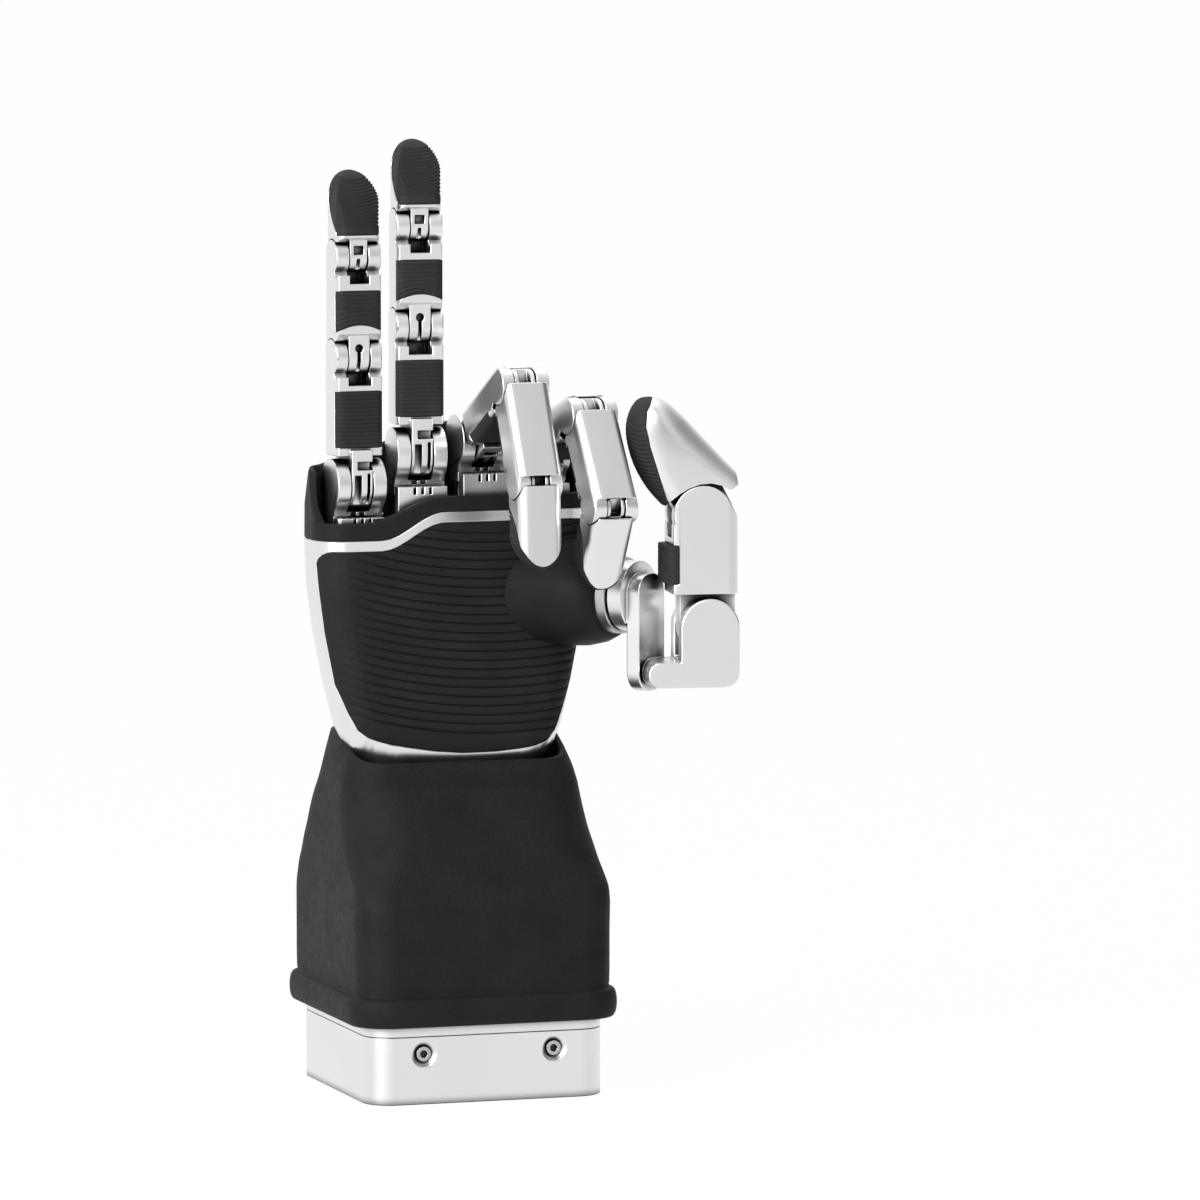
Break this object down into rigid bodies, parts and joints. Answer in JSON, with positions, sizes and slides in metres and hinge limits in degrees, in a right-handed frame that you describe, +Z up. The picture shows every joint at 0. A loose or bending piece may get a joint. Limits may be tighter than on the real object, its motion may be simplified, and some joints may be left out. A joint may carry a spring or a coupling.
{
  "type": "robot hand",
  "caption": "Right-handed dexterous robot hand with jointed fingers, an opposed thumb, soft ribbed pads and a sleeved wrist on a square flange.",
  "frame": {"origin": "centre of the base flange's lower face", "axes": "+Z up the hand to the fingertips, -Y out of the palm, +X toward the thumb"},
  "size_m": [0.1363, 0.1114, 0.3229],
  "materials": {
    "silver": "satin bead-blasted",
    "frame": "machined",
    "steel": "ground",
    "pad": "matte, fine ribs",
    "rubber": "matte",
    "sleeve": "matte, fine grain",
    "cover": "matte"
  },
  "bodies": {
    "forearm": {"forearm_housing": "silver", "collar_plate": "silver", "base_flange": "steel", "housing_screws": "steel", "wrist_pin": "steel", "wrist_sleeve": "sleeve"},
    "palm": {"palm_frame": "frame", "palm_shell": "silver", "palm_pad": "rubber", "knuckle_cuff": "rubber", "back_cover": "cover", "cover_screws": "steel", "spread_pins": "steel", "thumb_base": "silver", "thumb_boot": "rubber"},
    "pinky_base": {"pinky_knuckle": "silver"},
    "pinky_upper": {"pinky_proximal": "silver", "pinky_proximal_pad": "pad", "pinky_pins": "steel"},
    "pinky_mid": {"pinky_middle": "silver", "pinky_middle_pad": "pad", "pinky_tip_pin": "steel"},
    "pinky_end": {"pinky_distal": "silver", "pinky_tip_pad": "pad"},
    "ring_base": {"ring_knuckle": "silver"},
    "ring_upper": {"ring_proximal": "silver", "ring_proximal_pad": "pad", "ring_pins": "steel"},
    "ring_mid": {"ring_middle": "silver", "ring_middle_pad": "pad", "ring_tip_pin": "steel"},
    "ring_end": {"ring_distal": "silver", "ring_tip_pad": "pad"},
    "middle_base": {"middle_knuckle": "silver"},
    "middle_upper": {"middle_proximal": "silver", "middle_proximal_pad": "pad", "middle_pins": "steel"},
    "middle_mid": {"middle_middle": "silver", "middle_middle_pad": "pad", "middle_tip_pin": "steel"},
    "middle_end": {"middle_distal": "silver", "middle_tip_pad": "pad"},
    "index_base": {"index_knuckle": "silver"},
    "index_upper": {"index_proximal": "silver", "index_proximal_pad": "pad", "index_pins": "steel"},
    "index_mid": {"index_middle": "silver", "index_middle_pad": "pad", "index_tip_pin": "steel"},
    "index_end": {"index_distal": "silver", "index_tip_pad": "pad"},
    "thumb_carrier": {"thumb_swivel": "silver"},
    "thumb_upper": {"thumb_proximal": "silver", "thumb_proximal_pad": "pad", "thumb_pins": "steel"},
    "thumb_end": {"thumb_distal": "silver", "thumb_tip_pad": "pad"}
  },
  "joints": [
    {"name": "wrist_flex", "type": "hinge", "parent": "forearm", "child": "palm", "pos_m": [0, 0, 0.09], "axis": [1, 0, 0], "range_deg": [-20, 20], "deforming": ["wrist_sleeve"]},
    {"name": "pinky_spread", "type": "hinge", "parent": "palm", "child": "pinky_base", "pos_m": [-0.0345, 0, 0.1903], "axis": [0.0523, -0.9986, 0], "range_deg": [0, 6]},
    {"name": "pinky_mcp", "type": "hinge", "parent": "pinky_base", "child": "pinky_upper", "pos_m": [-0.0345, 0, 0.2063], "axis": [0.9986, 0.0523, 0], "range_deg": [-10, 75]},
    {"name": "pinky_pip", "type": "hinge", "parent": "pinky_upper", "child": "pinky_mid", "pos_m": [-0.0345, 0, 0.24955], "axis": [0.9986, 0.0523, 0], "range_deg": [0, 95]},
    {"name": "pinky_dip", "type": "hinge", "parent": "pinky_mid", "child": "pinky_end", "pos_m": [-0.0345, 0, 0.28355], "axis": [0.9986, 0.0523, 0], "range_deg": [0, 60]},
    {"name": "ring_spread", "type": "hinge", "parent": "palm", "child": "ring_base", "pos_m": [-0.0125, 0, 0.2004], "axis": [0.0349, 0.9994, 0], "range_deg": [0, 6]},
    {"name": "ring_mcp", "type": "hinge", "parent": "ring_base", "child": "ring_upper", "pos_m": [-0.0125, 0, 0.2164], "axis": [0.9994, -0.0349, 0], "range_deg": [-10, 75]},
    {"name": "ring_pip", "type": "hinge", "parent": "ring_upper", "child": "ring_mid", "pos_m": [-0.0125, 0, 0.25965], "axis": [0.9994, -0.0349, 0], "range_deg": [0, 95]},
    {"name": "ring_dip", "type": "hinge", "parent": "ring_mid", "child": "ring_end", "pos_m": [-0.0125, 0, 0.29365], "axis": [0.9994, -0.0349, 0], "range_deg": [0, 60]},
    {"name": "middle_spread", "type": "hinge", "parent": "palm", "child": "middle_base", "pos_m": [0.0095, 0, 0.2043], "axis": [-0.0698, 0.9976, 0], "range_deg": [0, 4]},
    {"name": "middle_mcp", "type": "hinge", "parent": "middle_base", "child": "middle_upper", "pos_m": [0.0095, 0, 0.2203], "axis": [0.9976, 0.0698, 0], "range_deg": [-71, 14]},
    {"name": "middle_pip", "type": "hinge", "parent": "middle_upper", "child": "middle_mid", "pos_m": [0.01214, -0.03773, 0.24127], "axis": [0.9976, 0.0698, 0], "range_deg": [-96, 0]},
    {"name": "middle_dip", "type": "hinge", "parent": "middle_mid", "child": "middle_end", "pos_m": [0.01307, -0.05099, 0.20997], "axis": [0.9976, 0.0698, 0], "range_deg": [-20, 40]},
    {"name": "index_spread", "type": "hinge", "parent": "palm", "child": "index_base", "pos_m": [0.0305, 0, 0.2002], "axis": [0.1219, -0.9925, 0], "range_deg": [0, 4]},
    {"name": "index_mcp", "type": "hinge", "parent": "index_base", "child": "index_upper", "pos_m": [0.0305, 0, 0.2162], "axis": [0.9925, 0.1219, 0], "range_deg": [-80, 0]},
    {"name": "index_pip", "type": "hinge", "parent": "index_upper", "child": "index_mid", "pos_m": [0.03545, -0.04034, 0.23099], "axis": [0.9925, 0.1219, 0], "range_deg": [-80, 0]},
    {"name": "index_dip", "type": "hinge", "parent": "index_mid", "child": "index_end", "pos_m": [0.03753, -0.05721, 0.20155], "axis": [0.9925, 0.1219, 0], "range_deg": [-55, 0]},
    {"name": "thumb_swing", "type": "hinge", "parent": "palm", "child": "thumb_carrier", "pos_m": [0.055, -0.037, 0.169], "axis": [-0.6157, 0.788, 0], "range_deg": [0, 45]},
    {"name": "thumb_mcp", "type": "hinge", "parent": "thumb_carrier", "child": "thumb_upper", "pos_m": [0.0743, -0.049, 0.1595], "axis": [0.1564, 0.9877, 0], "range_deg": [0, 35]},
    {"name": "thumb_ip", "type": "hinge", "parent": "thumb_upper", "child": "thumb_end", "pos_m": [0.0743, -0.049, 0.1975], "axis": [0.1564, 0.9877, 0], "range_deg": [0, 28]}
  ]
}
